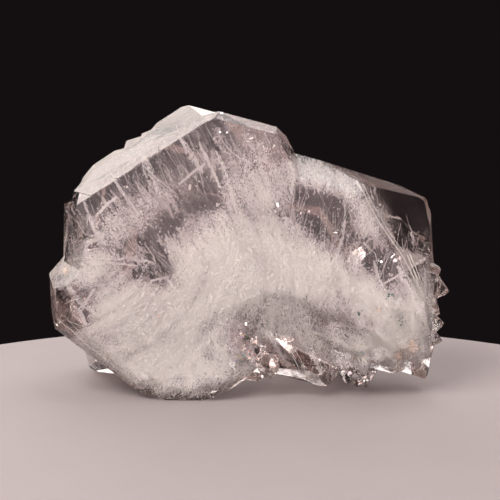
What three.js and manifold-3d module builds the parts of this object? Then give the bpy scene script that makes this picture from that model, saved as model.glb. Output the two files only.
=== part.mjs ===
// A faden quartz cluster: flat quartz crystals grown side by side along a healed thread, joined in one piece.
// Units are millimetres and +Z is up. The cluster stands on its lowest tips and leans back a little.
// The origin is the middle of its underside.
//
// The crystals are laid out on the plate that they grew as, seen square on: across is to the right,
// up is up the plate, and forward is towards the viewer.
import * as THREE from "three";
import { ConvexGeometry } from "three/addons/geometries/ConvexGeometry.js";
import { mergeVertices } from "three/addons/utils/BufferGeometryUtils.js";
import Module from "manifold-3d";

const LEAN_BACK = 12; // degrees that the plate leans back from upright
const FOOT_FORWARD = 9; // the front foot's place, forward of the plate's middle
const WORN_TO = -0.3; // height on the leaning plate that its lowest tips are worn down to
const SMALLEST_EDGE = 0.02; // shorter edges than this are closed up
const REACH = 200; // half of the cutting block's width, wider than the cluster

// Quartz's own angle between a prism face and the rhombohedral face above it, in degrees.
const RHOMB_TILT = 38.21;

// The large crystals. Each face is [compass, lean, across, up, forward]: compass is the way the face looks,
// in degrees on the plate (0 right, 90 up), lean is how far it turns forward of that (90 is square to the
// viewer, -90 is straight back), and the rest is a point that the face passes through.
const CROWN = [
  [75, 89, -8, 40, 8],
  [264, 85, -25, 32, 8.1],
  [122, 23, -22, 54.3, 8],
  [124, -24, -24.6, 59.5, -5],
  [75, 42, -3.8, 64.1, 5.6],
  [75, -27, -3.8, 64.1, 5.6],
  [27, 23, 9, 57.8, 3],
  [27, -30, 9, 57.8, 3],
  [172, 30, -37, 40, 6],
  [172, -24, -40.4, 40, -1],
  [233, 24, -32.4, 12, 2],
  [233, -28, -32.4, 12, 2],
  [294, 40, 0.6, 23.8, 7.6],
  [270, 24, 0, 10.5, 3],
  [270, -34, 0, 11, -2],
  [335, 20, 26, 20, 0],
  [265, -86, -8, 36, -14],
];
const CROWN_LOBE_LEFT = [
  [75, 89, -8, 40, 7.9],
  [122, 23, -22, 54.2, 8],
  [124, -10, -34.3, 55.4, -7],
  [152, -6, -36.8, 52.8, -7],
  [98, -4, -30.6, 57.3, -7],
  [168, 6, -38.5, 49.6, -6],
  [30, 4, -27.4, 57, -7],
  [345, 10, -24, 50, 0],
  [270, 0, -32, 42, 0],
  [124, -78, -32, 52, -12.5],
];
const CROWN_LOBE_RIGHT = [
  [75, 89, -8, 40, 7.9],
  [122, 23, -22, 54.5, 8],
  [123, -6, -19.4, 64.9, -9],
  [148, -4, -21.6, 63.3, -9],
  [75, 12, -14.6, 67.6, -8],
  [75, -24, -14.6, 67.6, -8],
  [99, -2, -16, 67.4, -9],
  [196, 4, -22.9, 62.4, -9],
  [27, 10, -5, 62, 0],
  [270, 0, -15, 50, 0],
  [100, -80, -15, 60, -12.5],
];
const CROWN_STEP_LOW = [
  [75, 89, -8, 40, 7.8],
  [122, 23, -22, 54.4, 8],
  [100, -6, -26.9, 59.8, -9.5],
  [170, 0, -28.6, 59, -9.5],
  [20, 0, -25, 60, -9.5],
  [270, 0, -26, 50, 0],
  [110, -80, -26, 56, -12.5],
];
const CROWN_STEP_HIGH = [
  [75, 89, -8, 40, 7.8],
  [122, 23, -22, 54.6, 8],
  [104, -6, -23.6, 61.2, -9.5],
  [172, 2, -25, 60.5, -9.5],
  [10, 0, -21.2, 62, -9.5],
  [270, 0, -22, 52, 0],
  [110, -80, -22, 58, -12.5],
];
const LEFT_BLOCK = [
  [185, 74, -37.8, 38, 3.8],
  [177, 26, -41.3, 38, -1.5],
  [182, -28, -42, 38, -4],
  [118, 40, -39.8, 44.7, -1],
  [112, 2, -40, 45.6, -4],
  [110, -30, -40, 45.6, -5],
  [60, 30, -33, 46, 2],
  [0, 0, -25, 40, 0],
  [262, 20, -38, 28.5, 0],
  [262, -30, -38, 28.5, -4],
  [250, -76, -36, 38, -12],
];
const LEFT_WING = [
  [291, 85, -38, 24, 7.8],
  [233, 24, -35.3, 10.3, 2],
  [233, -28, -35.3, 10.3, 2],
  [233, 56, -34.4, 13.4, 6],
  [190, 44, -42.4, 22, 4.6],
  [184, 14, -44.9, 24, -1],
  [184, -30, -44.9, 24, -2],
  [140, 30, -44.4, 30.1, -2],
  [140, -25, -44.4, 30.1, -2],
  [98, 40, -35, 32.2, 6],
  [92, -20, -33, 34.4, -2],
  [350, 0, -14, 24, 0],
  [300, 10, -16, 8, 0],
  [240, -80, -28, 22, -13],
];
const FRONT_LOBE = [
  [262, 88, -18, 12, 6.35],
  [233, 20, -25.8, 3.4, 3],
  [233, -30, -25.8, 3.4, 3],
  [233, 58, -24, 8, 6],
  [254, 20, -19.5, 0.6, 3],
  [254, -30, -19.5, 0.6, 3],
  [277, 24, -13, 0.2, 4],
  [277, -38, -13, 0.2, 4],
  [268, 60, -14, 4.4, 6.2],
  [301, 30, -5.1, 2.7, 2],
  [301, -32, -5.1, 2.7, 2],
  [336, 44, -3.6, 9, 6],
  [20, 20, -2, 20, 5],
  [110, 30, -24, 28, 6],
  [90, -24, -15, 26, -6],
  [180, 0, -32, 20, 4],
  [270, -80, -15, 14, -11],
];
const RIGHT_CROWN = [
  [75, 89, -8, 40, 8],
  [264, 85, -25, 32, 8.1],
  [75, 46, 17.7, 53.7, 2.5],
  [75, 0, 17.7, 53.7, 2.5],
  [70, -50, 28, 50, -11.5],
  [30, 38, 27.5, 41.5, 7.4],
  [64, 16, 31.6, 49.2, -6],
  [3, 14, 42, 37, -9],
  [3, -35, 42, 37, -9],
  [165, 12, 8.4, 50, 0],
  [200, 10, -1, 24, 7],
  [262, 40, 8, 24.6, 7.7],
  [290, -30, 36, 18, -6],
  [40, -86, 20, 40, -13.5],
];
const RIGHT_SHOULDER = [
  [75, 89, -8, 40, 7.9],
  [264, 85, -25, 32, 8.15],
  [246, 40, 16.5, 21.2, 7.4],
  [320, 70, 33, 24, 7.9],
  [12, 40, 39, 27, 1],
  [356, 10, 42.3, 27, -5],
  [356, -30, 42.3, 27, -6],
  [48, 24, 40.4, 32, -6],
  [48, -20, 40.4, 32, -7],
  [318, 34, 38, 16, 2.4],
  [318, -20, 40, 13, -4],
  [262, -24, 30, 8.4, -5],
  [180, 0, 9, 22, 0],
  [90, 10, 32, 36, 0],
  [0, -86, 30, 26, -14],
];
const LOWER_MIDDLE = [
  [278, 70, 8, 24, 6.9],
  [100, 40, 6, 28, 6],
  [70, -20, 14, 26, -4],
  [300, 50, 18, 13, 5],
  [246, 50, -2, 12, 5],
  [180, 30, -8, 18, 4],
  [350, 20, 26, 18, 2],
  [262, 10, 4, 7.4, -1],
  [275, -30, 8, 6.8, -2],
  [285, -80, 8, 18, -12],
];
const LOWER_RIGHT = [
  [285, 70, 28, 14.5, 5.4],
  [80, 34, 26, 17.6, 5],
  [180, 20, 16, 14, 3],
  [340, 40, 36, 16, 3.2],
  [318, 34, 36.6, 14.6, 2.4],
  [318, -20, 40, 13, -4],
  [262, 30, 30, 9.6, 2],
  [262, -24, 30, 8.4, -5],
  [236, 34, 18.6, 12, 3],
  [350, -20, 41, 16, -5],
  [290, -80, 28, 14, -11],
];
const TALL_FOOT = [
  [47, 56, 10.6, 9.6, 5.4],
  [227, 50, 10.6, 9.6, 5.4],
  [227, -10, 5.4, 5.8, 0],
  [30, 4, 18, 9, -2],
  [255, 20, 10.7, 4.8, -3],
  [255, -26, 10.7, 4.8, -3],
  [276, 18, 16, 3.1, -4],
  [276, -34, 16, 3.1, -4],
  [322, 24, 18.2, 3.6, -4.6],
  [322, -30, 18.2, 3.6, -4.6],
  [137, 10, 3, 20, 2],
  [300, -74, 14, 9, -10],
];
const HANGING_BLOCK = [
  [300, 64, 0.4, 6.6, -0.4],
  [262, 12, -0.4, 4.5, -3.6],
  [262, -30, -0.4, 4.5, -3.6],
  [208, 14, -2.7, 5.6, -3],
  [322, 16, 2.5, 5.4, -3],
  [350, 10, 3, 8, -3],
  [170, 10, -3, 8, -3],
  [90, 0, 0, 14, 0],
  [280, -78, 0, 8, -9],
];
const CORNER_FOOT = [
  [300, 66, 35.5, 10, 3.6],
  [252, 34, 34.1, 6.7, -4],
  [252, -24, 34.1, 6.7, -4],
  [348, 30, 41, 9, -3.5],
  [348, -26, 41, 9, -3.5],
  [318, 20, 40.2, 5.9, -3],
  [30, 10, 42, 14, -4],
  [120, 20, 30, 20, 0],
  [212, 10, 29, 10, 0],
  [300, -74, 34, 12, -11],
];
const BACK_LEFT_FOOT = [
  [195, 20, -38.2, 8.2, -17],
  [195, -30, -38.2, 8.2, -17],
  [240, 20, -36.9, 6, -17.5],
  [240, -30, -36.9, 6, -17.5],
  [262, 12, -33.5, 5.2, -18],
  [262, -30, -33.5, 5.2, -18],
  [330, 16, -27, 8, -16],
  [330, -30, -27, 8, -16],
  [88, -34, -30, 24, -12],
  [80, -78, -33, 16, -20],
  [90, 80, -30, 14, -4],
];
const BACK_RIGHT_FOOT = [
  [215, 12, 13.4, 9, -15],
  [215, -30, 13.4, 9, -15],
  [284, 14, 18.5, 4.9, -17],
  [284, -28, 18.5, 4.9, -17],
  [342, 14, 24, 12, -14],
  [342, -26, 24, 12, -14],
  [40, -20, 24, 22, -12],
  [104, -34, 15, 28, -12],
  [100, -78, 18, 16, -19],
  [90, 80, 18, 14, -4],
];
const BACK_PLATE = [
  [84, -84, -2, 32, -17],
  [128, -28, -22, 44, -13],
  [80, -40, 0, 48, -12],
  [32, -30, 19, 40, -13],
  [168, -34, -30, 30, -13],
  [350, -34, 29, 28, -13],
  [222, -34, -26, 15, -14],
  [318, -30, 27, 15, -14],
  [268, -34, 2, 14, -15],
  [80, 85, 0, 30, -8],
];

// The smaller crystals, each a six-sided prism with quartz's own points. Each is [across, up, forward] of
// its middle, the compass and lean of its axis, half its width, half its length, and its roll.
const SMALL_CRYSTALS = [
  // along the underside, at the front
  [[-9.4, 6.2, 2.6], 284, 22, 3.6, 5.4, 10],
  [[-13, 8.4, 3.2], 268, 30, 3, 4.6, 34],
  [[-4.6, 9.4, 3], 300, 34, 2.6, 4.6, 50],
  [[0.6, 12.2, 2.6], 292, 36, 3, 4.8, 12],
  [[4.2, 9.2, 1.6], 272, 20, 2.4, 4.2, 40],
  [[22.6, 6.8, -5.4], 262, 16, 2.7, 3.4, 12],
  [[26.2, 6.2, -6.6], 276, 6, 3, 3.5, 30],
  [[24.6, 6, -2.6], 262, 20, 2.4, 3, 50],
  [[24.4, 9.8, 0.4], 285, 34, 2.9, 4.8, 22],
  [[20.4, 10.4, 2.6], 296, 40, 2.1, 4, 8],
  [[28.2, 11.6, 2.2], 268, 44, 2.4, 4, 30],
  // down the right side
  [[42.4, 25.6, -5.4], 345, 14, 2.7, 3.2, 15],
  [[40.6, 29.2, -5], 15, 24, 2.2, 3.2, 40],
  [[40.8, 21.4, -3.8], 322, 20, 2.2, 3, 30],
  [[41.2, 17.6, -3], 0, 20, 2.4, 3, 5],
  [[41, 14.4, -3.6], 345, 12, 2.2, 2.8, 25],
  [[37.6, 13.8, 0.6], 310, 46, 2.4, 3.6, 30],
  [[36.2, 18.6, 2.6], 330, 50, 2.2, 3.4, 0],
  [[33.6, 14.2, 3], 300, 50, 2.2, 3.4, 18],
  [[38, 23, 0.2], 345, 44, 2.4, 3.6, 44],
  // round the back
  [[-14, 22, -14], 100, -50, 5, 6, 10],
  [[8, 25, -14], 70, -55, 5.2, 6.4, 35],
  [[-24, 33, -11], 140, -40, 5, 6.4, 22],
  [[22, 32, -11.5], 40, -44, 5, 6.4, 8],
  [[-3, 42, -11], 88, -34, 5.2, 7, 28],
  [[31, 20, -11.5], 330, -36, 4.4, 6, 14],
  [[2, 15, -13], 285, -40, 4, 5.6, 30],
  [[-14, 14, -13], 250, -36, 4.2, 5.6, 5],
  [[13, 44, -8], 60, -24, 4, 6, 16],
  [[-34, 23, -9.5], 196, -30, 4, 5.6, 24],
  [[32, 34, -10], 10, -34, 4, 6, 2],
];

const wasm = await Module();
wasm.setup();

// A direction on the plate as a vector: x is across, -y is forward and z is up.
function direction(compass, lean) {
  const turn = THREE.MathUtils.degToRad(compass);
  const tilt = THREE.MathUtils.degToRad(lean);
  return new THREE.Vector3(
    Math.cos(turn) * Math.cos(tilt),
    -Math.sin(tilt),
    Math.sin(turn) * Math.cos(tilt),
  );
}

// A point on the plate as a vector, in the same axes.
function place(across, up, forward) {
  return new THREE.Vector3(across, -forward, up);
}

// The plane of a face that looks along a normal and passes through a point.
function facePlane(normal, point) {
  return new THREE.Plane().setFromNormalAndCoplanarPoint(normal, point);
}

// The point where three planes meet, or null if two of them are nearly parallel.
function meetingPoint(a, b, c) {
  const bc = new THREE.Vector3().crossVectors(b.normal, c.normal);
  const volume = a.normal.dot(bc);
  if (Math.abs(volume) < 1e-6) return null;
  return bc
    .multiplyScalar(-a.constant)
    .addScaledVector(new THREE.Vector3().crossVectors(c.normal, a.normal), -b.constant)
    .addScaledVector(new THREE.Vector3().crossVectors(a.normal, b.normal), -c.constant)
    .divideScalar(volume);
}

// The convex body that lies behind every plane.
function crystalWithin(planes) {
  const corners = [];
  for (let i = 0; i < planes.length; i++)
    for (let j = i + 1; j < planes.length; j++)
      for (let k = j + 1; k < planes.length; k++) {
        const corner = meetingPoint(planes[i], planes[j], planes[k]);
        if (corner && planes.every((p) => p.distanceToPoint(corner) < 1e-4)) corners.push(corner);
      }
  return new ConvexGeometry(corners);
}

function largeCrystal(faces) {
  return crystalWithin(
    faces.map(([compass, lean, ...point]) => facePlane(direction(compass, lean), place(...point))),
  );
}

// A six-sided prism with a six-faced point at each end. Every second face of a point is set a little
// further out, as quartz's two kinds of rhombohedral face are.
function smallCrystal([middle, compass, lean, halfWidth, halfLength, roll]) {
  const axis = direction(compass, lean);
  const front = direction(compass, lean + 90).applyAxisAngle(axis, THREE.MathUtils.degToRad(roll));
  const centre = place(...middle);
  const tilt = THREE.MathUtils.degToRad(RHOMB_TILT);
  const planes = [];
  for (let side = 0; side < 6; side++) {
    const prism = front.clone().applyAxisAngle(axis, (side * Math.PI) / 3);
    const flattening = side % 3 === 0 ? 0.8 : 1;
    planes.push(facePlane(prism, centre.clone().addScaledVector(prism, halfWidth * flattening)));
    for (const end of [1, -1]) {
      const rhomb = prism.clone().multiplyScalar(Math.cos(tilt)).addScaledVector(axis, end * Math.sin(tilt));
      const setOut = (side % 2 === 0) === end > 0 ? 1 : 1.18;
      planes.push(facePlane(rhomb, centre.clone().addScaledVector(axis, end * halfLength * setOut)));
    }
  }
  return crystalWithin(planes);
}

function toSolid(geometry) {
  geometry.deleteAttribute("normal");
  geometry.deleteAttribute("uv");
  const merged = mergeVertices(geometry, 1e-4);
  return new wasm.Manifold(
    new wasm.Mesh({
      numProp: 3,
      vertProperties: merged.attributes.position.array,
      triVerts: new Uint32Array(merged.index.array),
    }),
  );
}

function toGeometry(solid) {
  const mesh = solid.getMesh();
  const geometry = new THREE.BufferGeometry()
    .setAttribute("position", new THREE.BufferAttribute(mesh.vertProperties, 3))
    .setIndex(new THREE.BufferAttribute(mesh.triVerts, 1));
  geometry.computeVertexNormals();
  return geometry;
}

// The solid without the gaps that its crystals leave sealed inside it.
function outerSkin(solid) {
  return solid.decompose().reduce((most, body) => (body.volume() > most.volume() ? body : most));
}

// All the crystals grown together, still laid out on the plate.
function joinedCrystals() {
  const large = [
    CROWN,
    CROWN_LOBE_LEFT,
    CROWN_LOBE_RIGHT,
    CROWN_STEP_LOW,
    CROWN_STEP_HIGH,
    LEFT_BLOCK,
    LEFT_WING,
    FRONT_LOBE,
    RIGHT_CROWN,
    RIGHT_SHOULDER,
    LOWER_MIDDLE,
    LOWER_RIGHT,
    TALL_FOOT,
    HANGING_BLOCK,
    CORNER_FOOT,
    BACK_LEFT_FOOT,
    BACK_RIGHT_FOOT,
    BACK_PLATE,
  ].map(largeCrystal);
  const solids = [...large, ...SMALL_CRYSTALS.map(smallCrystal)].map(toSolid);
  return outerSkin(solids.reduce((joined, next) => joined.add(next)));
}

// Leans the joined crystals back and wears their lowest tips flat.
function leanAndWear(joined) {
  const leaning = toGeometry(joined)
    .translate(0, FOOT_FORWARD, 0)
    .rotateX(THREE.MathUtils.degToRad(-LEAN_BACK));
  const below = new THREE.BoxGeometry(2 * REACH, 2 * REACH, REACH).translate(0, 0, WORN_TO - REACH / 2);
  return toGeometry(outerSkin(toSolid(leaning).subtract(toSolid(below)).simplify(SMALLEST_EDGE)));
}

const quartz = new THREE.MeshStandardMaterial({
  color: new THREE.Color(0.8, 0.76, 0.74),
  roughness: 0.1,
  metalness: 0,
  transparent: true,
  opacity: 0.6,
});

const cluster = new THREE.Mesh(leanAndWear(joinedCrystals()), quartz);
cluster.name = "quartz_cluster";

// The origin goes under the middle of the cluster.
cluster.geometry.computeBoundingBox();
const middle = cluster.geometry.boundingBox.getCenter(new THREE.Vector3());
cluster.position.set(-middle.x, -middle.y, -cluster.geometry.boundingBox.min.z);

const part = new THREE.Group();
part.add(cluster);
export default part;
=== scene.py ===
"""The looks of a faden quartz cluster: clear crystal round a milky thread, with wisps and chips inside."""

import math

import bpy
import numpy as np
from mathutils import Euler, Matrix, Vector
from mathutils.bvhtree import BVHTree

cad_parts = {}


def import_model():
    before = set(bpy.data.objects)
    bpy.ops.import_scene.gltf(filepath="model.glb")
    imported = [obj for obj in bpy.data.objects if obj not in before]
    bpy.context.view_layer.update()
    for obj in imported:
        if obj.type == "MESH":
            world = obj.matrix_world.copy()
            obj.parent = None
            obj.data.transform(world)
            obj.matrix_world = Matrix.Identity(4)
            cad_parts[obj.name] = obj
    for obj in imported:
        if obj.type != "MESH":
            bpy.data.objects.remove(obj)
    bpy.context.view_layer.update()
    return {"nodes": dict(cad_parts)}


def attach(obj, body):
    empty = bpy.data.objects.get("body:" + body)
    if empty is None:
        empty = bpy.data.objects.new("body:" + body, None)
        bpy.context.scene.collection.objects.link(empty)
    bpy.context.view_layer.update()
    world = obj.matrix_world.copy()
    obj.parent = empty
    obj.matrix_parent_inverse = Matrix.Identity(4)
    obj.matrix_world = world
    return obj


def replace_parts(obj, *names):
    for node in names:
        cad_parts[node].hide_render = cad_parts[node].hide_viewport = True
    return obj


# The crystals grew as a flat plate. Places inside it are given in millimetres on that plate: across to the
# right, up the plate, and forward to the viewer. The plate leans back from upright. The healed thread that
# the crystals grew from runs across the plate at about THREAD_UP.
MILLIMETRE = 0.001
LEAN = math.radians(12)
PLATE_ORIGIN = (0.0, -0.010913, -0.001571)
THREAD_UP = 30.0

# The camera looks square at the plate from this far, in millimetres. There one pixel of a picture that is
# 500 pixels wide covers 0.225 mm of the plate.
VIEW_MIDDLE_UP = 34.2
VIEW_DISTANCE = 375.0
LENS_MM = 120.0
SENSOR_MM = 36.0

QUARTZ_IOR = 1.544
QUARTZ_TINT = (0.97, 0.88, 0.865, 1)
QUARTZ_TINT_DENSITY = 45.0
MILK_COLOUR = (0.955, 0.915, 0.87)
HAZE_COLOUR = (0.59, 0.525, 0.535)
FILM_HUES = [(0.1, 0.5, 0.9), (0.15, 0.8, 0.6), (0.95, 0.85, 0.3), (0.95, 0.4, 0.12), (0.5, 0.3, 0.85)]
FILM_STOPS = (0.28, 0.5, 0.75)

# A colour mix has its factor and colours at these inputs and its result at this output.
MIX_FACTOR, MIX_FIRST, MIX_SECOND = 0, 6, 7
MIX_RESULT = 2

# The clear body, in metres and radians: corners that are one, faces that are one, and wear along the edges.
WELD_REACH = 0.00001
FLAT_WITHIN = math.radians(0.4)
EDGE_WEAR = 0.00009
SHARP_FROM = math.radians(14)

# Veils of milk through the plate: name, share of the depth from the back, height of their waves, how much
# they cover, the milkiness at which they are thickest, how streaky they are.
SHEETS = [
    ("core_layer", 0.86, 0.4, 0.93, 1.5, 2.0),
    ("middle_layer", 0.55, 0.5, 0.6, 1.2, 1.9),
    ("back_layer", 0.28, 0.5, 0.5, 1.2, 1.9),
]
# They stop short of the rim, fade in from there and are clear below a milkiness. The lobes that say where
# it is milky reach through the whole plate.
SHEET_RIM = 2
SHEET_FADE = 2.5
SHEET_CLEAR_BELOW = -0.1
LOBE_DEPTH = 60

# Flakes: how many to a piece, their length, and how far they keep from the rim and from the faces.
FLAKES = 97000
FLAKE_LENGTH = 0.27
FLAKE_RIM = 1.4
FLAKE_COVER = 0.35
# Their places are picked from so many tries at a time, within these bounds of the plate.
TRIES = 40000
PLATE_ACROSS = (-45, 45)
PLATE_UP = (0, 66)
GROWTH_SEED = 7

# Wisps: half width, and how far from the rim they start and stay. Seams lie so far under the faces.
WISP_HALF_WIDTH = 0.035
WISP_START_RIM = 2.5
WISP_RIM = 1.2
SEAM_COVER = 0.3

# Chips keep from the rim and from places where the plate is thin.
CHIP_RIM = 2
THIN = 4
GRAINS_A_SPOT = 5

# Soft panels: name, direction across, up and forward, distance and size in metres, radiance, colour.
LIGHTS = [
    ("front", (-0.05, -0.05, 1), 0.85, (1.1, 1.0), 1.75, (1.0, 0.81, 0.83)),
    ("back_left", (-0.38, 0.54, -0.75), 0.55, (0.55, 0.5), 2.2, (1.0, 0.93, 0.88)),
    ("top", (0.29, 0.96, -0.02), 0.5, (0.4, 0.4), 3.2, (1.0, 0.98, 0.96)),
    ("low_right", (0.5, -0.12, 0.86), 0.6, (0.3, 0.3), 10.5, (1.0, 0.97, 0.96)),
    ("key", (-0.5, 0.72, 0.6), 0.6, (0.34, 0.34), 12.0, (1.0, 0.98, 0.95)),
    ("back_high", (0.25, 0.85, -0.6), 0.6, (0.35, 0.35), 1.5, (1.0, 0.97, 0.95)),
]
ROOM_COLOUR = (0.007, 0.005, 0.0055, 1)

# Where the quartz is milky: across, up, half width, half height, turn in degrees, strength.
MILK = [
    (1, 31, 25, 12, -6, 2.0),
    (-11, 25, 20, 12, 25, 1.8),
    (-22, 15, 24, 14, -25, 1.6),
    (-14, 8, 17, 10, 0, 1.2),
    (-29, 23, 12, 8, 0, 0.8),
    (24, 25, 23, 8, -22, 1.45),
    (33, 18, 12, 9, 0, 1.2),
    (22, 12, 12, 7, 0, 0.95),
    (-1, 41, 15, 12, 0, 0.55),
    (0, 54, 12, 12, 20, 0.42),
    (4, 47, 9, 6, 0, 0.5),
    (15, 50, 11, 4.5, -18, 1.0),
    (28, 38, 16, 4.5, -59, 0.5),
    (-34, 31, 12, 4, 5, 1.1),
    (-39, 27, 6, 4, 0, 0.5),
    (-22, 45, 19, 8, 32, 0.37),
    (-30, 38, 12, 8, 30, 0.36),
    (25, 40, 4, 12, 20, 0.6),
    (8, 17, 14, 7, 0, 1.05),
    (39, 26, 5, 8, 0, 0.6),
    (33, 12, 12, 7, 0, 1.2),
    (24, 32.5, 3, 3, 0, 0.8),
    (12, 6, 5, 5, 0, 0.5),
    (0, 6, 4, 4, 0, 1.2),
    (-31, 11, 12, 3, -38, 0.5),
]
# Where it is clear again.
CLEAR = [
    (-21, 30, 11, 6, -30, 1.3),
    (14, 42, 4, 7, 10, 0.8),
    (20, 39, 5, 9, 20, 0.8),
    (27, 33, 8, 6, 0, 0.8),
    (31, 26, 6, 3, -40, 0.6),
    (-38, 22, 6, 7, 0, 1.0),
    (36, 42, 14, 7, -62, 1.0),
    (-41, 38, 3, 8, 0, 1.0),
    (10, 7, 11, 7, -35, 1.3),
    (-8.5, 4, 5, 2.2, 0, 1.2),
    (-9, 10.3, 3.6, 2.8, -40, 0.9),
    (-15.4, 5.6, 2.6, 2.2, 0, 1.0),
    (38, 8, 7, 3.5, -50, 0.9),
    (27, 7, 6, 3, 0, 0.5),
]

# Thick white strokes inside, each as points on the plate with its half width: (width, [(across, up), ...]).
STROKES = [
    (0.55, [(-23.4, 56.0), (-22.6, 53.0), (-21.2, 49.6), (-20.4, 47.0)]),
    (0.4, [(-36.6, 45.0), (-35.0, 41.0), (-33.6, 37.6), (-31.8, 35.4)]),
    (0.35, [(-38.4, 34.0), (-35.6, 35.8), (-32.4, 37.2)]),
    (0.3, [(-30.0, 49.6), (-27.4, 45.6), (-24.6, 42.0)]),
    (0.35, [(-15.4, 58.8), (-13.0, 55.0), (-10.4, 51.4)]),
    (0.12, [(-15.6, 48.8), (-12.6, 51.4), (-10.0, 53.2)]),
    (0.14, [(-34.0, 41.6), (-31.8, 44.2), (-29.6, 45.8)]),
    (0.3, [(-7.6, 56.2), (-5.6, 51.0), (-4.2, 46.4), (-3.0, 42.2)]),
    (0.25, [(-11.2, 57.8), (-8.6, 52.4), (-6.6, 48.0)]),
    (0.3, [(-40.8, 31.6), (-34.0, 33.0), (-27.0, 32.6), (-21.0, 31.4)]),
    (0.22, [(-38.0, 29.6), (-31.6, 31.4), (-25.0, 30.8)]),
    (0.3, [(9.9, 55.4), (9.5, 51.4), (9.2, 46.6)]),
    (0.25, [(21.0, 40.6), (20.4, 36.6), (19.0, 32.8), (16.8, 29.4)]),
    (0.4, [(32.6, 30.6), (34.6, 26.6), (36.6, 22.4)]),
    (0.16, [(22.6, 50.8), (28.2, 41.6), (33.4, 33.0), (37.6, 24.0)]),
    (0.2, [(27.4, 31.6), (28.0, 28.8), (29.4, 26.0)]),
    (0.35, [(9.6, 17.6), (12.6, 12.6), (15.6, 6.6)]),
    (0.25, [(4.4, 15.6), (6.8, 11.8), (9.0, 8.4)]),
    (0.3, [(-8.8, 15.6), (-6.0, 11.4), (-2.8, 8.2)]),
    (0.25, [(-8.6, 6.2), (-3.6, 6.4), (0.8, 9.2)]),
    (0.3, [(-40.6, 27.0), (-37.4, 22.6), (-33.6, 19.6)]),
    (0.25, [(-34.4, 25.6), (-37.6, 20.8), (-36.2, 17.6)]),
    (0.25, [(14.0, 16.0), (19.0, 14.6), (23.6, 11.8)]),
    (0.2, [(-22.0, 27.4), (-18.6, 28.2), (-16.6, 25.4)]),
]

# Thin pale lines close under the faces, where crystals joined and at healed chips, listed like the strokes.
SEAMS = [
    (0.10, [(-43.0, 19.0), (-40.0, 16.9), (-36.1, 13.1), (-22.6, 2.9)]),
    (0.08, [(-41.0, 19.6), (-37.0, 15.4), (-29.0, 9.6), (-22.6, 5.2)]),
    (0.09, [(-12.3, 12.5), (-8.7, 8.3), (-6.3, 6.1)]),
    (0.10, [(-13.1, 5.9), (-6.3, 6.0), (-2.7, 8.3)]),
    (0.08, [(-16.7, 6.1), (-14.2, 6.7), (-13.6, 5.0), (-14.8, 3.4)]),
    (0.08, [(-12.0, 2.4), (-6.5, 3.2), (-3.2, 6.7)]),
    (0.10, [(-43.1, 28.7), (-43.2, 25.9), (-43.0, 23.2), (-42.6, 19.6)]),
    (0.11, [(-41.2, 31.5), (-36.8, 32.6), (-29.1, 32.0), (-26.3, 33.1)]),
    (0.09, [(-41.2, 22.1), (-39.0, 23.2), (-36.2, 23.7)]),
    (0.08, [(-40.2, 18.6), (-37.6, 17.7), (-35.1, 16.9)]),
    (0.24, [(22.9, 50.6), (25.8, 44.9), (28.4, 39.9), (33.4, 33.0), (38.4, 23.6)]),
    (0.12, [(24.2, 50.0), (27.0, 44.4), (29.6, 39.6), (34.6, 32.6)]),
    (0.42, [(34.6, 33.4), (36.0, 30.0), (37.4, 26.1)]),
    (0.30, [(35.4, 33.2), (36.8, 29.8), (38.0, 26.4)]),
    (0.10, [(6.0, 15.9), (9.3, 11.2), (12.1, 5.9)]),
    (0.09, [(8.2, 15.0), (11.0, 10.1), (13.2, 5.9)]),
    (0.09, [(13.7, 12.8), (15.9, 7.9), (18.6, 5.8)]),
    (0.09, [(30.6, 8.3), (37.2, 6.2), (40.8, 11.0)]),
    (0.08, [(38.5, 10.9), (35.7, 7.9), (37.2, 6.4)]),
    (0.09, [(-2.3, 8.7), (1.1, 10.1), (4.1, 13.7)]),
    (0.07, [(-39.6, 41.8), (-36.0, 37.6), (-31.6, 34.8)]),
    (0.07, [(-34.2, 41.6), (-32.6, 43.8)]),
    (0.07, [(20.4, 46.2), (21.2, 41.4), (19.6, 37.2)]),
    (0.07, [(24.6, 36.0), (27.6, 33.4), (28.4, 30.0)]),
]

# Fans of fine wisps: across, up, how far they start spread out, the way they run in degrees, their
# length, how many.
FANS = [
    (-34, 44, 5, -58, 9, 30),
    (-27, 49, 6, -60, 10, 45),
    (-20, 53, 6, -62, 10, 50),
    (-13, 57, 5, -66, 10, 45),
    (-6, 58, 5, -72, 10, 35),
    (2, 58, 5, -80, 9, 30),
    (6, 48, 5, -92, 8, 35),
    (14, 44, 5, -94, 10, 30),
    (20, 40, 5, -98, 10, 25),
    (27, 38, 5, -108, 8, 20),
    (33, 36, 4, -112, 8, 11),
    (-22, 33, 6, -50, 8, 45),
    (-33, 27, 5, 214, 7, 25),
    (-26, 12, 6, 232, 7, 30),
    (-12, 10, 6, 262, 6, 25),
    (4, 22, 6, 276, 7, 45),
    (14, 20, 6, 280, 7, 35),
    (28, 16, 7, 290, 6, 40),
]

# Places with glinting chips: across, up, spread, how many.
GLINTS = [
    (-24, 42, 3.0, 26),
    (-5, 60, 3.0, 22),
    (0, 15, 3.2, 46),
    (13, 42, 3.0, 24),
    (22, 38, 2.0, 20),
    (32, 31, 2.4, 24),
    (24, 12, 4.0, 60),
    (35, 18, 4.0, 40),
    (3, 46, 3.4, 30),
    (-38, 24, 2.6, 18),
    (-17, 6, 4.0, 26),
    (-32, 30, 4.0, 20),
    (-10, 41, 4.0, 20),
]
# Painted glints: bright white specks in the milk's white, put where glints of light show, listed the same
# way.
PAINTED_GLINT_SPECKS = [
    (-26, 43, 7, 150),
    (-12, 50, 6, 90),
    (4, 52, 5, 90),
    (-34, 30, 5, 70),
    (8, 44, 4, 50),
    (22, 36, 5, 70),
    (31, 26, 5, 60),
    (4, 16, 6, 70),
    (26, 14, 8, 160),
    (-34, 20, 5, 60),
    (-16, 10, 10, 120),
]
GREEN_SPECKS = [(24.4, 20.2), (34.2, 18.4), (41.0, 18.8), (30.4, 23.8), (3.6, 17.4)]
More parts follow.
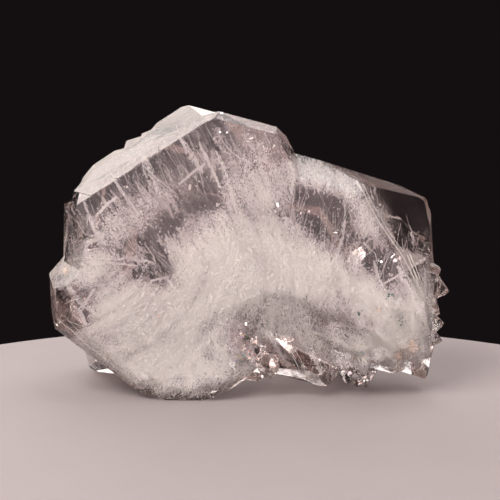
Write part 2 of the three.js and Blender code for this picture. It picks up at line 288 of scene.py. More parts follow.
# Rusty spots: across, up, how far they reach.
RUST_SPOTS = [
    (36.0, 12.6, 2.6),
    (33.2, 10.4, 2.0),
    (-41.0, 29.6, 1.8),
    (28.6, 21.0, 0.8),
    (-20.2, 19.6, 0.6),
]
# Small patches of thin-film colours: across, up, spread, how many chips.
RAINBOWS = [(-1.6, 15.1, 0.6, 9), (-0.9, 11.3, 0.8, 9), (-3.2, 9.9, 0.6, 8), (24.6, 11.7, 0.8, 12)]


# Places on the plate


def on_plate(across, up, forward):
    """Where a place on the plate is in the scene. Takes numbers or arrays."""
    x = across * MILLIMETRE + PLATE_ORIGIN[0]
    y = (up * math.sin(LEAN) - forward * math.cos(LEAN)) * MILLIMETRE + PLATE_ORIGIN[1]
    z = (up * math.cos(LEAN) + forward * math.sin(LEAN)) * MILLIMETRE + PLATE_ORIGIN[2]
    if np.ndim(x) == 0:
        return Vector((x, y, z))
    return np.stack([x, y, z], -1)


def lobes_at(lobes, across, up):
    """The sum of soft lobes at places on the plate, each highest in its middle and nothing at its edge."""
    total = np.zeros(np.shape(across))
    for middle_across, middle_up, half_width, half_height, turn, strength in lobes:
        t = math.radians(turn)
        x, y = across - middle_across, up - middle_up
        along = (x * math.cos(t) + y * math.sin(t)) / half_width
        aside = (y * math.cos(t) - x * math.sin(t)) / half_height
        total += strength * np.clip(1 - np.hypot(along, aside), 0, 1)
    return total


def milkiness_at(across, up):
    """How milky the quartz is at places on the plate."""
    return lobes_at(MILK, across, up) - lobes_at(CLEAR, across, up)


def growth_turn(across, up):
    """The way the fibres run at a place, in degrees: out from the thread to both sides of it."""
    above = 108 - 0.62 * across
    below = 258 + 1.1 * across
    return np.where(up > THREAD_UP, above, below)


class Depths:
    """How deep the crystal is at each place of the plate, measured by rays through it."""

    step = 1.0
    low = (-47.0, -1.0)
    count = (95, 70)
    outside = -5.0  # what the front and back read where there is no crystal
    far = 80.0  # how far from the plate the rays start

    def __init__(self, node):
        mesh = node.data
        mesh.calc_loop_triangles()
        corners = [v.co for v in mesh.vertices]
        self.tree = BVHTree.FromPolygons(corners, [tuple(t.vertices) for t in mesh.loop_triangles])
        self.ahead = (on_plate(0, 0, 1.0) - on_plate(0, 0, 0.0)).normalized()
        self.across = self.low[0] + self.step * np.arange(self.count[0])
        self.up = self.low[1] + self.step * np.arange(self.count[1])
        self.front = np.full(self.count, self.outside)
        self.back = np.full(self.count, self.outside)
        self.rim = np.zeros(self.count)
        furthest = sum(self.count)
        for i, across in enumerate(self.across):
            for j, up in enumerate(self.up):
                front = self.front_at(across, up)
                if front is None:
                    continue
                self.front[i, j] = front
                self.back[i, j] = self.back_at(across, up)
                self.rim[i, j] = furthest
        self.measure_rim()

    def measure_rim(self):
        """Counts the steps from each place to the nearest one outside the crystal."""
        for _ in range(max(self.count)):
            padded = np.pad(self.rim, 1)
            sides = [padded[:-2, 1:-1], padded[2:, 1:-1], padded[1:-1, :-2], padded[1:-1, 2:]]
            self.rim = np.minimum(self.rim, np.minimum.reduce(sides) + self.step)

    def front_at(self, across, up):
        """The exact front at one place, or None outside the crystal."""
        hit = self.tree.ray_cast(on_plate(across, up, self.far), -self.ahead)
        return None if hit[0] is None else self.far - hit[3] / MILLIMETRE

    def back_at(self, across, up):
        """The exact back at one place inside the crystal's outline."""
        return self.tree.ray_cast(on_plate(across, up, -self.far), self.ahead)[3] / MILLIMETRE - self.far

    def at(self, across, up):
        """Front, back and distance from the rim at places on the plate."""
        x = np.clip((across - self.low[0]) / self.step, 0, self.count[0] - 1.001)
        y = np.clip((up - self.low[1]) / self.step, 0, self.count[1] - 1.001)
        i, j = x.astype(int), y.astype(int)
        fx, fy = x - i, y - j
        out = []
        for grid in (self.front, self.back, self.rim):
            low = grid[i, j] * (1 - fx) + grid[i + 1, j] * fx
            high = grid[i, j + 1] * (1 - fx) + grid[i + 1, j + 1] * fx
            out.append(low * (1 - fy) + high * fy)
        return out

    def at_one(self, across, up):
        """Front, back and distance from the rim at one place, as plain numbers."""
        return [float(depth[0]) for depth in self.at(np.array([across]), np.array([up]))]


# Nodes


def add_node(tree, kind, settings=None, values=None, output=0):
    """Adds a node and returns one of its outputs. The values go in by order, by name or by number."""
    made = tree.nodes.new(kind)
    for name, value in (settings or {}).items():
        setattr(made, name, value)
    pairs = enumerate(values) if isinstance(values, list) else (values or {}).items()
    for key, value in pairs:
        if isinstance(value, Value):
            value = value.socket
        if isinstance(value, bpy.types.NodeSocket):
            tree.links.new(value, made.inputs[key])
        else:
            made.inputs[key].default_value = value
    return made.outputs[output]


class Value:
    """A socket of a shader tree that plain arithmetic works on."""

    def __init__(self, tree, socket):
        self.tree = tree
        self.socket = socket

    def maths(self, operation, other):
        settings = {"operation": operation}
        return Value(self.tree, add_node(self.tree, "ShaderNodeMath", settings, [self, other]))

    def __add__(self, other):
        return self.maths("ADD", other)

    def __radd__(self, other):
        return self + other

    def __mul__(self, other):
        return self.maths("MULTIPLY", other)

    def __rmul__(self, other):
        return self * other

    def __sub__(self, other):
        return self.maths("SUBTRACT", other)

    def __rsub__(self, other):
        return self * -1 + other


class Shader:
    """One material's node tree."""

    def __init__(self, name):
        self.material = bpy.data.materials.new(name)
        self.material.use_nodes = True
        self.tree = self.material.node_tree
        self.tree.nodes.clear()
        self.out = self.tree.nodes.new("ShaderNodeOutputMaterial")

    def node(self, kind, settings=None, values=None, output=0):
        return Value(self.tree, add_node(self.tree, kind, settings, values, output))

    def object_coordinates(self):
        return self.node("ShaderNodeTexCoord", output="Object")

    def plate_coordinates(self):
        """Millimetres on the plate: across, backward and up."""
        return self.moved(self.object_coordinates(), PLATE_ORIGIN, (-LEAN, 0, 0), (MILLIMETRE,) * 3)

    def moved(self, vector, place, turn, size):
        """Coordinates about a place, turned and measured in sizes."""
        return self.node("ShaderNodeMapping", {"vector_type": "TEXTURE"}, [vector, place, turn, size])

    def on_face(self, vector, across=0, up=0, turn=0.0, size=(1, 1, 1)):
        """Coordinates about a place of the plate, turned within the plate and measured in sizes."""
        return self.moved(vector, (across, 0, up), (0, -math.radians(turn), 0), size)

    def noise(self, vector, scale, detail=3.0, roughness=0.5, distortion=0.0):
        shape = {"Scale": scale, "Detail": detail, "Roughness": roughness, "Distortion": distortion}
        return self.node("ShaderNodeTexNoise", values={"Vector": vector, **shape})

    def carried(self, name):
        """A value that the points of the mesh carry."""
        return self.node("ShaderNodeAttribute", {"attribute_name": name}, output="Fac")

    def mix_colour(self, factor, first, second):
        values = {MIX_FACTOR: factor, MIX_FIRST: (*first, 1), MIX_SECOND: (*second, 1)}
        return self.node("ShaderNodeMix", {"data_type": "RGBA"}, values, MIX_RESULT)

    def spread(self, value, low, high, new_low=0.0, new_high=1.0):
        """Stretches a range of a value, smoothly, and holds it at both ends."""
        values = [value, low, high, new_low, new_high]
        return self.node("ShaderNodeMapRange", {"interpolation_type": "SMOOTHSTEP"}, values)

    def cloudiness(self, vector):
        """How milky the quartz is there, from the soft lobes above."""
        total = None
        for sign, lobes in ((1, MILK), (-1, CLEAR)):
            for across, up, half_width, half_height, turn, strength in lobes:
                inside = self.on_face(vector, across, up, turn, (half_width, LOBE_DEPTH, half_height))
                soft = self.node("ShaderNodeTexGradient", {"gradient_type": "SPHERICAL"}, [inside], "Fac")
                part = soft * (sign * strength)
                total = part if total is None else total + part
        return total

    def principled(self, values):
        return self.node("ShaderNodeBsdfPrincipled", values=values)

    def finish(self, surface, volume=None):
        """Ends the tree in a surface and perhaps a volume, and returns the material."""
        self.tree.links.new(surface.socket, self.out.inputs["Surface"])
        if volume:
            self.tree.links.new(volume.socket, self.out.inputs["Volume"])
        return self.material


# Materials


def clear_quartz():
    """Clear crystal with growth steps, hillocks and fine striations on its faces."""
    s = Shader("clear_quartz")
    p = s.plate_coordinates()
    hillocks = s.noise(p, scale=0.22, detail=2.0, roughness=0.45)
    steps = s.noise(s.on_face(p, turn=-14, size=(7, 5, 0.45)), scale=1.0, detail=3.0, roughness=0.6)
    side_steps = s.noise(s.on_face(p, turn=-62, size=(6, 6, 0.35)), scale=1.0, detail=2.0, roughness=0.6)
    patches = s.spread(s.noise(p, scale=0.09, detail=1.0), 0.42, 0.62)
    grain = s.noise(p, scale=2.6, detail=3.0, roughness=0.6)
    height = hillocks * 0.7 + steps * patches * 0.18 + side_steps * 0.1 + grain * 0.02
    normal = s.node("ShaderNodeBump", values={"Strength": 0.5, "Distance": 0.0004, "Height": height})
    worn = s.spread(s.noise(p, scale=0.5, detail=4.0, roughness=0.6), 0.5, 0.75, 0.012, 0.09)
    surface = s.principled(
        {
            "Base Color": (0.985, 0.97, 0.965, 1),
            "Roughness": worn,
            "IOR": QUARTZ_IOR,
            "Transmission Weight": 1.0,
            "Normal": normal,
        }
    )
    tint = {"Color": QUARTZ_TINT, "Density": QUARTZ_TINT_DENSITY}
    return s.finish(surface, s.node("ShaderNodeVolumeAbsorption", values=tint))


def milk_sheet(name, cover, thick, streakiness):
    """One layer of the milky thread cloud: white where the quartz is milky, fibrous at its edges."""
    s = Shader(name)
    p = s.plate_coordinates()
    cloud = s.cloudiness(p)
    fibre_size = (7, 4, 0.75)
    left_way = s.on_face(p, turn=-58, size=fibre_size)
    left = s.noise(left_way, scale=1.0, detail=4.0, roughness=0.62, distortion=0.4)
    right_way = s.on_face(p, turn=-93, size=fibre_size)
    right = s.noise(right_way, scale=1.0, detail=4.0, roughness=0.62, distortion=0.4)
    across = s.node("ShaderNodeSeparateXYZ", values=[p])
    side = s.spread(across, -6, 10)
    fibre = left * (1 - side) + right * side
    lumps = s.noise(p, scale=0.32, detail=5.0, roughness=0.62, distortion=0.4)
    density = cloud * 0.8 + (fibre - 0.5) * streakiness + (lumps - 0.5) * 1.4
    from_rim = s.spread(s.carried("rim"), 0.0, SHEET_FADE)
    alpha = s.spread(density, SHEET_CLEAR_BELOW, thick) * cover * from_rim
    colour = s.mix_colour(s.spread(cloud + (fibre - 0.5) * 1.5, 0.0, 1.5), HAZE_COLOUR, MILK_COLOUR)
    looks = {"Base Color": colour, "Roughness": 0.8, "Specular IOR Level": 0.2, "Alpha": alpha}
    return s.finish(s.principled(looks))


def white_wisp():
    """The white stuff of strands and flakes: clouds of tiny bubbles."""
    s = Shader("white_wisps")
    colour = s.mix_colour(s.carried("tone"), HAZE_COLOUR, MILK_COLOUR)
    return s.finish(s.principled({"Base Color": colour, "Roughness": 0.7, "Specular IOR Level": 0.3}))


def glinting_chip():
    """Small cracks that shine silver."""
    s = Shader("glinting_chips")
    return s.finish(s.principled({"Base Color": (0.93, 0.91, 0.9, 1), "Roughness": 0.12, "Metallic": 0.85}))


def rainbow_chip():
    """Small cracks with thin-film colours."""
    s = Shader("rainbow_chips")
    bands = s.noise(s.plate_coordinates(), scale=1.7, detail=2.0, distortion=1.2)
    ramp = s.node("ShaderNodeValToRGB", values=[s.spread(bands, 0.3, 0.7)])
    stops = ramp.socket.node.color_ramp.elements
    first, *between, last = FILM_HUES
    stops[0].color = (*first, 1)
    stops[1].color = (*last, 1)
    for place, hue in zip(FILM_STOPS, between):
        stops.new(place).color = (*hue, 1)
    return s.finish(s.principled({"Base Color": ramp, "Roughness": 0.3}))


def green_grain():
    """A dark green mineral, mottled."""
    s = Shader("green_grains")
    mottle = s.noise(s.plate_coordinates(), scale=2.5, detail=4.0, roughness=0.7)
    colour = s.mix_colour(mottle, (0.02, 0.09, 0.06), (0.10, 0.24, 0.17))
    return s.finish(s.principled({"Base Color": colour, "Roughness": 0.75}))


def rust_film():
    """Thin rusty film on a few inner cracks."""
    s = Shader("rust_film")
    patchy = s.noise(s.plate_coordinates(), scale=0.9, detail=5.0, roughness=0.75)
    colour = s.mix_colour(patchy, (0.84, 0.56, 0.42), (0.97, 0.80, 0.69))
    alpha = s.spread(patchy + s.carried("rim") * 0.45, 0.5, 1.0) * 0.85
    return s.finish(s.principled({"Base Color": colour, "Roughness": 0.7, "Alpha": alpha}))


def pale_floor():
    """A matt floor, faintly mottled."""
    s = Shader("pale_floor")
    mottle = s.noise(s.object_coordinates(), scale=40)
    colour = s.mix_colour(mottle, (0.28, 0.238, 0.238), (0.31, 0.262, 0.262))
    return s.finish(s.principled({"Base Color": colour, "Roughness": 0.75}))


# Making pieces


def put_in_scene(name, data):
    """A new object at the origin that holds a mesh, a light or a camera."""
    thing = bpy.data.objects.new(name, data)
    bpy.context.scene.collection.objects.link(thing)
    return thing


def carry(mesh, name, values):
    """Lets each point of a mesh carry a number or three."""
    values = np.asarray(values, np.float32)
    kind, key = ("FLOAT", "value") if values.ndim == 1 else ("FLOAT_VECTOR", "vector")
    mesh.attributes.new(name, kind, "POINT").data.foreach_set(key, values.ravel())


def new_piece(name, vertices, faces, material, smooth=False, **carried):
    """A piece from its corners and faces, with the values that its points carry."""
    mesh = bpy.data.meshes.new(name)
    mesh.from_pydata([tuple(v) for v in vertices], [], [tuple(f) for f in faces])
    for key, values in carried.items():
        carry(mesh, key, values)
    if smooth:
        mesh.shade_smooth()
    mesh.materials.append(material)
    return put_in_scene(name, mesh)


def ride(piece):
    """Says that a piece belongs to the cluster."""
    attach(piece, "root")
    return piece


def bake_modifiers(piece):
    """Turns a piece with modifiers into a plain mesh."""
    depsgraph = bpy.context.evaluated_depsgraph_get()
    mesh = bpy.data.meshes.new_from_object(piece.evaluated_get(depsgraph))
    piece.modifiers.clear()
    old = piece.data
    piece.data = mesh
    mesh.name = piece.name
    bpy.data.meshes.remove(old)


class Growth:
    """A Geometry Nodes tree that grows one piece from a mesh of points or lines."""

    def __init__(self, name):
        self.name = name
        self.tree = bpy.data.node_groups.new(name, "GeometryNodeTree")
        for way in ("INPUT", "OUTPUT"):
            self.tree.interface.new_socket("Geometry", in_out=way, socket_type="NodeSocketGeometry")
        self.source = self.tree.nodes.new("NodeGroupInput")
        self.sink = self.tree.nodes.new("NodeGroupOutput")
        self.sizes = {}

    def size(self, name, value):
        """A named input of the tree."""
        socket = self.tree.interface.new_socket(name, in_out="INPUT", socket_type="NodeSocketFloat")
        socket.default_value = value
        self.sizes[socket.identifier] = value
        return self.source.outputs[name]

    def node(self, kind, settings=None, values=None):
        return add_node(self.tree, kind, settings, values)

    def carried(self, name, kind="FLOAT"):
        """A value that the points of the mesh carry."""
        return self.node("GeometryNodeInputNamedAttribute", {"data_type": kind}, {"Name": name})

    def grow(self, mesh, geometry, material):
        """Grows the piece on its mesh and leaves it as a plain mesh."""
        real = self.node("GeometryNodeRealizeInstances", values={"Geometry": geometry})
        done = self.node("GeometryNodeSetMaterial", values={"Geometry": real, "Material": material})
        self.tree.links.new(done, self.sink.inputs[0])
        piece = put_in_scene(self.name, mesh)
        modifier = piece.modifiers.new("growth", "NODES")
        modifier.node_group = self.tree
        for identifier, value in self.sizes.items():
            modifier[identifier] = value
        bake_modifiers(piece)
        if not piece.data.materials:
            piece.data.materials.append(material)
        return ride(piece)


# The clear body


def crystal(node, material):
    """The cluster's own faces, with worn edges."""
    name = "clear_crystal"
    mesh = node.data.copy()
    mesh.name = name
    mesh.materials.clear()
    mesh.materials.append(material)
    piece = put_in_scene(name, mesh)
    weld = piece.modifiers.new("weld", "WELD")
    weld.merge_threshold = WELD_REACH
    flat = piece.modifiers.new("flat faces", "DECIMATE")
    flat.decimate_type = "DISSOLVE"
    flat.angle_limit = FLAT_WITHIN
    edges = piece.modifiers.new("worn edges", "BEVEL")
    edges.width = EDGE_WEAR
    edges.segments = 2
    edges.limit_method = "ANGLE"
    edges.angle_limit = SHARP_FROM
    edges.use_clamp_overlap = True
    edges.miter_outer = "MITER_ARC"
    corners = piece.modifiers.new("triangles", "TRIANGULATE")
    corners.min_vertices = 5
    bake_modifiers(piece)
    piece.data.shade_flat()
    return ride(piece)


# The milk


def sheet(name, depths, share, wave, material, rng):
    """A gently wavy layer through the whole plate, at one share of its depth from the back."""
    across, up = np.meshgrid(depths.across, depths.up, indexing="ij")
    front, back, rim = depths.front, depths.back, depths.rim
    start = rng.uniform(0, 6, 3)
    waves = np.sin(across * 0.21 + start[0]) + np.sin(up * 0.27 + start[1])
    waves = waves + np.sin((across + up) * 0.13 + start[2])
    forward = back + (front - back) * share + wave * waves
    forward = np.clip(forward, back + 0.5, front - 0.5)
    keep = (rim >= SHEET_RIM) & (front - back > 2.5)
    number = np.full(depths.count, -1)
    number[keep] = np.arange(keep.sum())
    vertices = on_plate(across[keep], up[keep], forward[keep])
    corners = [number[:-1, :-1], number[1:, :-1], number[1:, 1:], number[:-1, 1:]]
    quads = np.stack(corners, -1).reshape(-1, 4)
    quads = quads[(quads >= 0).all(1)]
    used = np.unique(quads)
    renumber = np.full(number.max() + 1, -1)
    renumber[used] = np.arange(len(used))
    from_rim = (rim[keep] - SHEET_RIM)[used]
    return ride(new_piece(name, vertices[used], renumber[quads], material, smooth=True, rim=from_rim))


def smooth_noise(x, y, seed):
    """Soft random hills over a plane, from 0 to 1."""
    side = 97
    grid = np.random.default_rng(seed).uniform(0, 1, (side, side))
    i, j = np.floor(x).astype(int), np.floor(y).astype(int)
    fx, fy = x - i, y - j
    fx, fy = fx * fx * (3 - 2 * fx), fy * fy * (3 - 2 * fy)
    low = grid[i % side, j % side] * (1 - fx) + grid[(i + 1) % side, j % side] * fx
    high = grid[i % side, (j + 1) % side] * (1 - fx) + grid[(i + 1) % side, (j + 1) % side] * fx
    return low * (1 - fy) + high * fy


def streaks(across, up):
    """How thick the milk is along the streaks that leave the thread, from 0 to 1."""
    way = np.radians(growth_turn(across, up))
    root = across - (up - THREAD_UP) * np.cos(way) / np.sin(way)
    streak = 0.6 * smooth_noise(root / 1.9, up / 9, 1) + 0.4 * smooth_noise(root / 0.7, up / 6, 2)
    lump = smooth_noise(across / 3.5, up / 3.5, 3)
    return np.clip((0.7 * streak + 0.3 * lump - 0.25) / 0.5, 0, 1)


def thread_cloud(milkiness, across, up):
    """Dense in the milky core, nothing in the haze."""
    return np.clip(milkiness - 0.25, 0, 1.2) / 1.2 * (0.15 + 0.85 * streaks(across, up))


def haze(milkiness, across, up):
    """Thin everywhere that is milky at all, in streaks."""
    return (np.clip(milkiness, 0, 1) ** 1.9 + 0.03) * (0.2 + 0.8 * streaks(across, up))


def milky_places(depths, rng, count, likely_where, share, spread):
    """Picks places inside the crystal, most of them where likely_where of the milkiness is high."""
    kept = np.zeros((0, 3))
    while len(kept) < count:
        across, up = rng.uniform(*PLATE_ACROSS, TRIES), rng.uniform(*PLATE_UP, TRIES)
        front, back, rim = depths.at(across, up)
        forward = rng.normal(back + (front - back) * share, (front - back) * spread)
        inside = np.clip((rim - FLAKE_RIM) / 2.6, 0, 1) * (forward < front - 0.5) * (forward > back + 0.5)
        likely = likely_where(milkiness_at(across, up), across, up) * inside
        keep = rng.uniform(0, 1, across.shape) < likely
        kept = np.concatenate([kept, np.stack([across, up, forward], -1)[keep]])
    return kept[:count]


def fibre_places(depths, rng, count, girth, length):
    """Places strewn along fibres. The fibres lie side by side in bundles and grow away from the thread."""
    fibres, strewn = 6, 34
    bundles = count // (fibres * strewn) + 1
    middle = milky_places(depths, rng, bundles, haze, share=0.65, spread=0.2)[:, None]
    shape = (bundles, fibres)
    middle = middle + rng.normal(0, 1, (*shape, 3)) * (1.0, 1.0, 0.9)
    turn = growth_turn(middle[..., 0], middle[..., 1])
    turn = turn + rng.normal(0, 7, (bundles, 1)) + rng.normal(0, 7, shape)
    lengths = rng.lognormal(math.log(length), 0.5, shape)
    girths = rng.lognormal(math.log(girth), 0.45, shape)[..., None]
    bend = rng.normal(0, 0.04, shape)[..., None]
    along = rng.uniform(-0.5, 0.5, (*shape, strewn))
    taper = girths * (1.05 - (2 * along) ** 2)
    along = along * lengths[..., None]
    aside = bend * along**2 + rng.normal(0, 1, along.shape) * taper
    way = np.radians(turn)[..., None]
    across = middle[..., :1] + along * np.cos(way) - aside * np.sin(way)
    up = middle[..., 1:2] + along * np.sin(way) + aside * np.cos(way)
    scatter = rng.normal(0, 1, along.shape) * taper
    forward = middle[..., 2:] + scatter + rng.normal(0, 0.2, shape)[..., None] * along
    return np.stack([across, up, forward], -1).reshape(-1, 3)[:count]


def stroke_places(depths, rng, count_each):
    """Places strewn thickly along the bright strokes, close under the front."""
    threads = 9
    places = []
    for width, points in STROKES:
        line = np.array(points)
        t = np.sort(rng.uniform(0, len(line) - 1.001, count_each))
        k = t.astype(int)
        on_line = line[k] + (line[k + 1] - line[k]) * (t - k)[:, None]
        taper = np.sin(np.pi * (0.06 + 0.88 * t / (len(line) - 1)))[:, None]
        thread = rng.normal(0, width * 0.9, (threads, 2))[rng.integers(0, threads, count_each)]
        on_line = on_line + thread * taper + rng.normal(0, width * 0.3, (count_each, 2))
        front = depths.at(on_line[:, 0], on_line[:, 1])[0]
        forward = front - 0.9 - np.abs(rng.normal(0, 1.0, count_each))
        places.append(np.column_stack([on_line, forward]))
    return np.concatenate(places)


def flakes(name, depths, places, rng, material, whiter=0.0):
    """Tiny flakes at given places, lying roughly along the fibres, whiter where it is milky."""
    front, back, rim = depths.at(places[:, 0], places[:, 1])
    inside = (places[:, 2] < front - FLAKE_COVER) & (places[:, 2] > back + FLAKE_COVER)
    across, up, forward = places[(rim > FLAKE_RIM) & inside].T
    count = len(across)
    turn = np.radians(growth_turn(across, up) + rng.normal(0, 24, count))
    facing = math.pi / 2 - LEAN + rng.uniform(-0.5, 0.5, count)
    nod = rng.uniform(-0.4, 0.4, count)
    tone = np.clip(milkiness_at(across, up), 0, 1.3) * 0.72 + (streaks(across, up) - 0.5) * 0.5
    tone = tone + whiter + rng.normal(0, 0.05, count)
    long = rng.lognormal(math.log(FLAKE_LENGTH), 0.35, count) * MILLIMETRE
    wide = long * rng.uniform(0.25, 0.55, count)
    mesh = bpy.data.meshes.new(name)
    mesh.from_pydata([tuple(v) for v in on_plate(across, up, forward)], [], [])
    carry(mesh, "lie", np.stack([facing, nod, np.zeros(count)], -1))
    carry(mesh, "turn", turn)
    carry(mesh, "tone", np.clip(tone, 0, 1))
    carry(mesh, "size", np.stack([long, wide, np.ones(count)], -1))
    g = Growth(name)
    square = {"Size X": 1.0, "Size Y": 1.0, "Vertices X": 2, "Vertices Y": 2}
    flake = g.node("GeometryNodeMeshGrid", values=square)
    sized = {0: g.carried("size", "FLOAT_VECTOR"), "Scale": g.size("Flake size", 1.0)}
    scale = g.node("ShaderNodeVectorMath", {"operation": "SCALE"}, sized)
    upright = g.node("FunctionNodeEulerToRotation", values={"Euler": g.carried("lie", "FLOAT_VECTOR")})
    about = {"Axis": (0, 0, 1), "Angle": g.carried("turn")}
    spun = g.node("FunctionNodeAxisAngleToRotation", values=about)
    turns = {"Rotation": upright, "Rotate By": spun}
    rotation = g.node("FunctionNodeRotateRotation", {"rotation_space": "LOCAL"}, turns)
    spread_out = {"Points": g.source.outputs[0], "Instance": flake, "Rotation": rotation, "Scale": scale}
    return g.grow(mesh, g.node("GeometryNodeInstanceOnPoints", values=spread_out), material)


# Wisps and seams


def strands(name, lines, material, tone):
    """Thin tapering strands along lines, each given by its points on the plate and its half widths."""
    vertices, edges, girth = [], [], []
    for points, widths in lines:
        start = len(vertices)
        vertices += [tuple(on_plate(*p)) for p in points]
        girth += [w * MILLIMETRE for w in widths]
        edges += [(start + k, start + k + 1) for k in range(len(points) - 1)]
    mesh = bpy.data.meshes.new(name)
    mesh.from_pydata(vertices, edges, [])
    carry(mesh, "girth", girth)
    carry(mesh, "tone", np.full(len(girth), tone))
    g = Growth(name)
    line = g.node("GeometryNodeMeshToCurve", values={"Mesh": g.source.outputs[0]})
    thickness = {0: g.carried("girth"), 1: g.size("Thickness", 1.0)}
    radius = g.node("ShaderNodeMath", {"operation": "MULTIPLY"}, thickness)
    square = {"Resolution": 4, "Radius": 1.0}
    section = g.node("GeometryNodeCurvePrimitiveCircle", {"mode": "RADIUS"}, square)
    tube = {"Curve": line, "Profile Curve": section, "Scale": radius, "Fill Caps": True}
    return g.grow(mesh, g.node("GeometryNodeCurveToMesh", values=tube), material)


def wisp(rng, across, up, forward, turn, length):
    """One slightly bent line that starts and ends thin, as its points and their half widths."""
    way = math.radians(turn)
    tilt = rng.normal(0, 0.25)
    bend = rng.normal(0, 0.05)
    reach = length * rng.uniform(0.35, 1.15)
    thick = rng.lognormal(math.log(WISP_HALF_WIDTH), 0.5)
    pieces = 7
    points, widths = [], []
    for k in range(pieces + 1):
        points.append((across, up, forward))
        widths.append(thick * (math.sin(math.pi * min(1, k / pieces * 0.9 + 0.08)) ** 0.7 + 0.05))
        way += bend + rng.normal(0, 0.05)
        across += math.cos(way) * reach / pieces
        up += math.sin(way) * reach / pieces
        forward += tilt * reach / pieces
    return np.array(points), widths


def wisp_lines(depths, rng):
    """The fans of fine wisps, kept inside the crystal."""
    lines = []
    for across, up, spread, turn, length, count in FANS:
        for _ in range(count):
            a = across + rng.normal(0, spread * 0.6)
            u = up + rng.normal(0, spread * 0.5)
            front, back, rim = depths.at_one(a, u)
            if rim < WISP_START_RIM:
                continue
            forward = rng.uniform(back + 2, front - 0.8)
            points, widths = wisp(rng, a, u, forward, turn + rng.normal(0, 9), length)
            front, back, rim = depths.at(points[:, 0], points[:, 1])
            if rim.min() < WISP_RIM:
                continue
            points[:, 2] = np.clip(points[:, 2], back + 0.6, front - 0.6)
            lines.append((points, widths))
    return lines


def seam_lines(depths, rng):
    """The seams as slightly wandering lines that follow the faces at a small depth."""
    beside = ((0.6, 0), (-0.6, 0), (0, 0.6), (0, -0.6))
    lines = []
    for width, corners in SEAMS:
        points, widths = [], []
        for (a0, u0), (a1, u1) in zip(corners, corners[1:]):
            steps = max(2, int(math.hypot(a1 - a0, u1 - u0) / 0.7))
            for k in range(steps):
                a = a0 + (a1 - a0) * k / steps + rng.normal(0, 0.025)
                u = u0 + (u1 - u0) * k / steps + rng.normal(0, 0.025)
                fronts = [depths.front_at(a, u)] + [depths.front_at(a + dx, u + du) for dx, du in beside]
                if None in fronts:
                    continue
                points.append((a, u, min(fronts) - SEAM_COVER))
                widths.append(width * rng.uniform(0.45, 1.0))
        if len(points) > 2:
            widths[0] = widths[-1] = width * 0.15
            lines.append((points, widths))
    return lines


# Chips, grains and films


def chips(name, spots, depths, material, seed, size, deep=2.5):
    """Small flat irregular chips round given places, tilted every way."""
    rng = np.random.default_rng(seed)
    vertices, faces = [], []
    for across, up, spread, count in spots:
        for _ in range(count):
            a, u = across + rng.normal(0, spread), up + rng.normal(0, spread)
            front, back, rim = depths.at_one(a, u)
            if rim < CHIP_RIM or front - back < THIN:
                continue
            centre = on_plate(a, u, max(front - 0.8 - abs(rng.normal(0, deep)), back + 1))
            turn = Euler(tuple(rng.uniform(0, 6.28, 3))).to_matrix()
            sides = int(rng.integers(4, 7))
            reach = size * rng.lognormal(0, 0.4) * MILLIMETRE
            faces.append(tuple(range(len(vertices), len(vertices) + sides)))
            for k in range(sides):
                angle = 2 * math.pi * k / sides
                corner = Vector((math.cos(angle), math.sin(angle) * rng.uniform(0.35, 0.9), 0))
                vertices.append(centre + turn @ (corner * reach * rng.uniform(0.7, 1.1)))
    return ride(new_piece(name, vertices, faces, material, tone=np.ones(len(vertices))))


def lumpy_ball(centre, reach, rng, start):
    """The corners and faces of one grain, with its corners numbered from start."""
    rings, around = 4, 6
    golden = math.pi * (3 - math.sqrt(5))
    tip = Vector((0, 0, reach * 0.7))
    vertices, faces = [centre + tip], []
    for r in range(1, rings):
        for k in range(around):
            fall, spin = math.pi * r / rings, 2 * math.pi * k / around + golden * r
            level = math.sin(fall)
            outward = Vector((level * math.cos(spin), level * math.sin(spin), math.cos(fall)))
            vertices.append(centre + outward * reach * rng.uniform(0.6, 1.1))
    vertices.append(centre - tip)
    last = start + 1 + (rings - 2) * around
    for k in range(around):
        n = (k + 1) % around
        faces.append((start, start + 1 + k, start + 1 + n))
        for r in range(rings - 2):
            row = start + 1 + r * around
            faces.append((row + k, row + around + k, row + around + n, row + n))
        faces.append((last + k, last + around, last + n))
    return vertices, faces


def grains(name, spots, depths, material, seed, size):
    """Small rough grains, a few at each place."""
    rng = np.random.default_rng(seed)
    vertices, faces = [], []
    for across, up in spots:
        front = depths.at_one(across, up)[0]
        for _ in range(GRAINS_A_SPOT):
            a, u = across + rng.normal(0, 0.35), up + rng.normal(0, 0.35)
            centre = on_plate(a, u, front - 1.0 - rng.uniform(0, 0.6))
            reach = size * rng.uniform(0.5, 1.1) * MILLIMETRE
            grain_vertices, grain_faces = lumpy_ball(centre, reach, rng, len(vertices))
            vertices += grain_vertices
            faces += grain_faces
    return ride(new_piece(name, vertices, faces, material))


def films(name, spots, depths, material, seed):
    """Thin round films just under the front."""
    rng = np.random.default_rng(seed)
    around = 18
    vertices, faces, rims = [], [], []
    for across, up, reach in spots:
        start = len(vertices)
        front = depths.at_one(across, up)[0]
        vertices.append(on_plate(across, up, front - 0.5))
        rims.append(1.0)
        for ring in (0.5, 1.0):
            for k in range(around):
                angle = 2 * math.pi * k / around
                out = reach * ring * rng.uniform(0.85, 1.15)
                a, u = across + out * math.cos(angle), up + out * math.sin(angle)
                front, back, _ = depths.at_one(a, u)
                vertices.append(on_plate(a, u, max(front - 0.5, back + 0.3)))
                rims.append(1.0 - ring)
        inner, outer = start + 1, start + 1 + around
        for k in range(around):
            n = (k + 1) % around
            faces.append((start, inner + k, inner + n))
            faces.append((inner + k, outer + k, outer + n, inner + n))
    return ride(new_piece(name, vertices, faces, material, smooth=True, rim=rims))


# Floor, light and camera


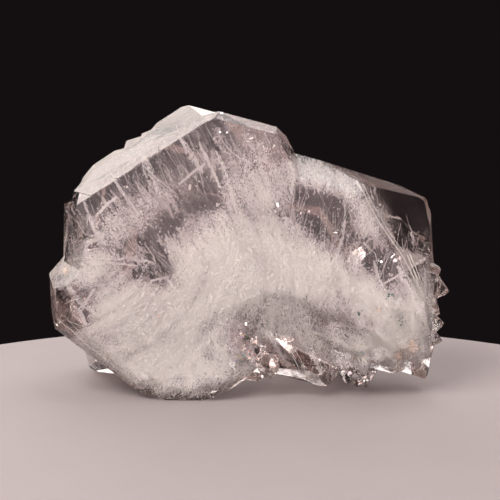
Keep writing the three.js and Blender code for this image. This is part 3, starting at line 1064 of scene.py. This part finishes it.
def stage():
    """A round pale stand with a rounded edge."""
    radius, thick, around, middle = 0.122, 0.006, 128, -0.07
    rings = [(radius - 0.002, 0.0), (radius - 0.0006, -0.0006), (radius, -0.002), (radius, -thick)]
    turns = [2 * math.pi * k / around for k in range(around)]
    vertices = [(r * math.cos(turn), r * math.sin(turn) + middle, z) for r, z in rings for turn in turns]
    faces = [tuple(range(around))]
    for ring in range(len(rings) - 1):
        for k in range(around):
            n = (k + 1) % around
            low, high = ring * around, (ring + 1) * around
            faces.append((low + k, high + k, high + n, low + n))
    faces.append(tuple(reversed(range((len(rings) - 1) * around, len(rings) * around))))
    floor = new_piece("floor", vertices, faces, pale_floor())


def soft_light(name, direction, distance, size, radiance, colour):
    """A soft panel seen from the middle of the plate in a direction across, up and forward of it."""
    middle = on_plate(0, THREAD_UP, 0)
    way = on_plate(*direction) - on_plate(0, 0, 0)
    data = bpy.data.lights.new(name, "AREA")
    data.shape = "RECTANGLE"
    data.size, data.size_y = size
    data.energy = radiance * math.pi * size[0] * size[1]
    data.color = colour
    lamp = put_in_scene(name, data)
    lamp.location = middle + way.normalized() * distance
    lamp.rotation_euler = (-way).to_track_quat("-Z", "Y").to_euler()
    lamp.visible_camera = False


def lights():
    """A dark room with soft panels round the piece."""
    world = bpy.data.worlds.new("dark_room")
    world.use_nodes = True
    world.node_tree.nodes["Background"].inputs["Color"].default_value = ROOM_COLOUR
    bpy.context.scene.world = world
    bpy.context.scene.view_settings.view_transform = "Standard"
    for panel in LIGHTS:
        soft_light(*panel)


def camera():
    """A camera square to the plate, as the photograph was taken."""
    data = bpy.data.cameras.new("camera")
    data.lens = LENS_MM
    data.sensor_width = SENSOR_MM
    data.clip_start, data.clip_end = 0.01, 10
    seen = put_in_scene("camera", data)
    target = on_plate(0, VIEW_MIDDLE_UP, 0)
    seen.location = on_plate(0, VIEW_MIDDLE_UP, VIEW_DISTANCE)
    seen.rotation_euler = (target - seen.location).to_track_quat("-Z", "Y").to_euler()
    bpy.context.scene.camera = seen


def main():
    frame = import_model()
    node = frame["nodes"]["quartz_cluster"]
    depths = Depths(node)
    rng = np.random.default_rng(GROWTH_SEED)

    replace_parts(crystal(node, clear_quartz()), "quartz_cluster")
    for name, share, wave, *milk in SHEETS:
        sheet(name, depths, share, wave, milk_sheet(name, *milk), rng)
    white = white_wisp()
    fine = fibre_places(depths, rng, FLAKES, girth=0.14, length=3.4)
    flakes("fine_fibres", depths, fine, rng, white)
    soft = fibre_places(depths, rng, FLAKES, girth=0.45, length=4.5)
    flakes("soft_fibres", depths, soft, rng, white)
    for name in ("milk_dust_1", "milk_dust_2"):
        dust = milky_places(depths, rng, FLAKES, thread_cloud, share=0.9, spread=0.09)
        flakes(name, depths, dust, rng, white)
    strokes = stroke_places(depths, rng, count_each=420)
    flakes("white_strokes", depths, strokes, rng, white, whiter=0.25)
    strands("fine_wisps", wisp_lines(depths, rng), white, tone=0.4)
    strands("seams", seam_lines(depths, rng), white, tone=0.9)
    chips("glinting_chips", GLINTS, depths, glinting_chip(), seed=5, size=0.33)
    chips("rainbow_chips", RAINBOWS, depths, rainbow_chip(), seed=12, size=0.4, deep=0.1)
    # The bright white specks are painted glints: flakes of the milk's white that stand in for glints of
    # light.
    chips("painted_glint_specks", PAINTED_GLINT_SPECKS, depths, white, seed=9, size=0.2)
    grains("green_grains", GREEN_SPECKS, depths, green_grain(), seed=6, size=0.36)
    films("rust_films", RUST_SPOTS, depths, rust_film(), seed=8)

    stage()
    lights()
    camera()


main()
